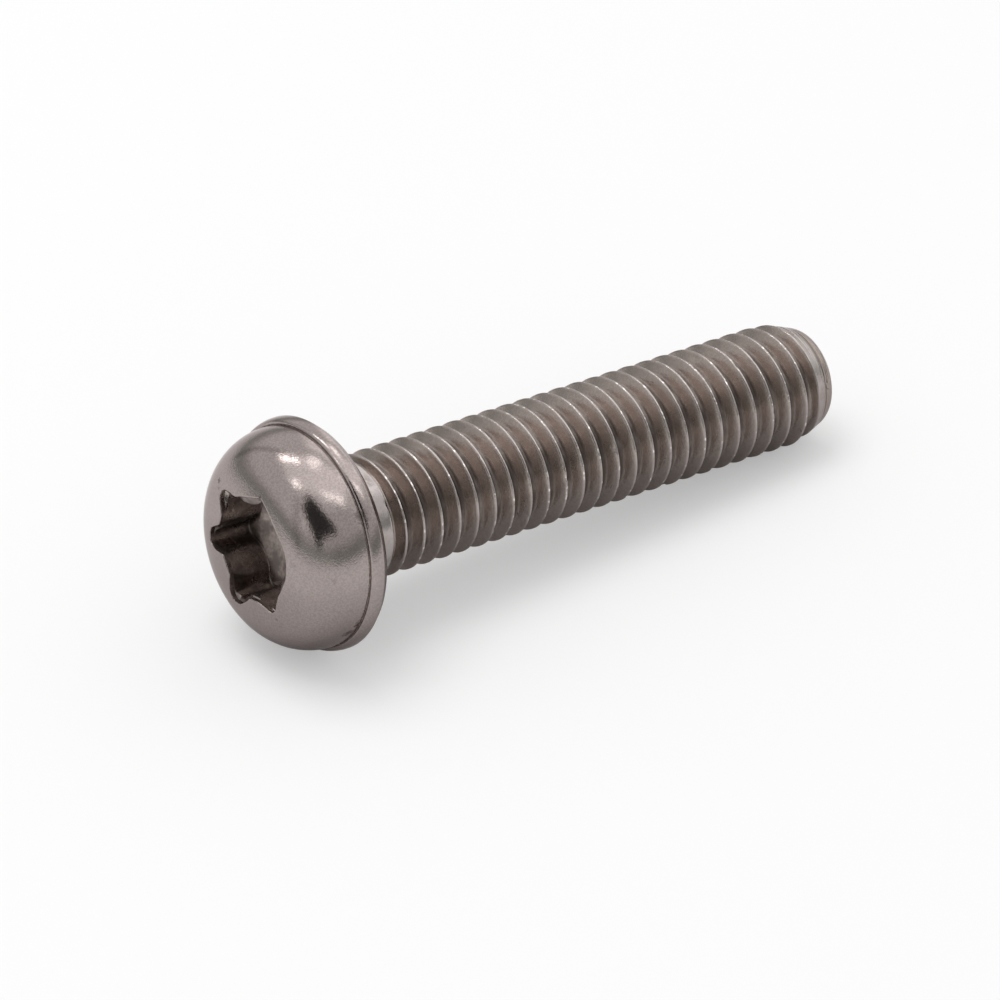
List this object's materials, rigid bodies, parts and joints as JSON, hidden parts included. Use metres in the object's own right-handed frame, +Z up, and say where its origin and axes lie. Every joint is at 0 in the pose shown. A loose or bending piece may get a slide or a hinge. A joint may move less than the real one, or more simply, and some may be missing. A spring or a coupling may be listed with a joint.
{
  "type": "machine screw",
  "caption": "Pan head machine screw with a six-lobe socket and a full-length metric thread, lying on its side. It clamps parts together or drives into a tapped hole.",
  "frame": {"origin": "middle of the bearing face under the head, on the screw's own axis", "axes": "+X along the length, from the head toward the end of the shank; +Z up from the surface that the screw lies on; +Y sideways. The screw's own axis dips about 5.4 degrees below +X, because the head is wider than the thread."},
  "size_m": [0.0226, 0.0074, 0.0075],
  "materials": {
    "steel": "satin"
  },
  "bodies": {
    "root": {"screw": "steel"}
  },
  "joints": []
}
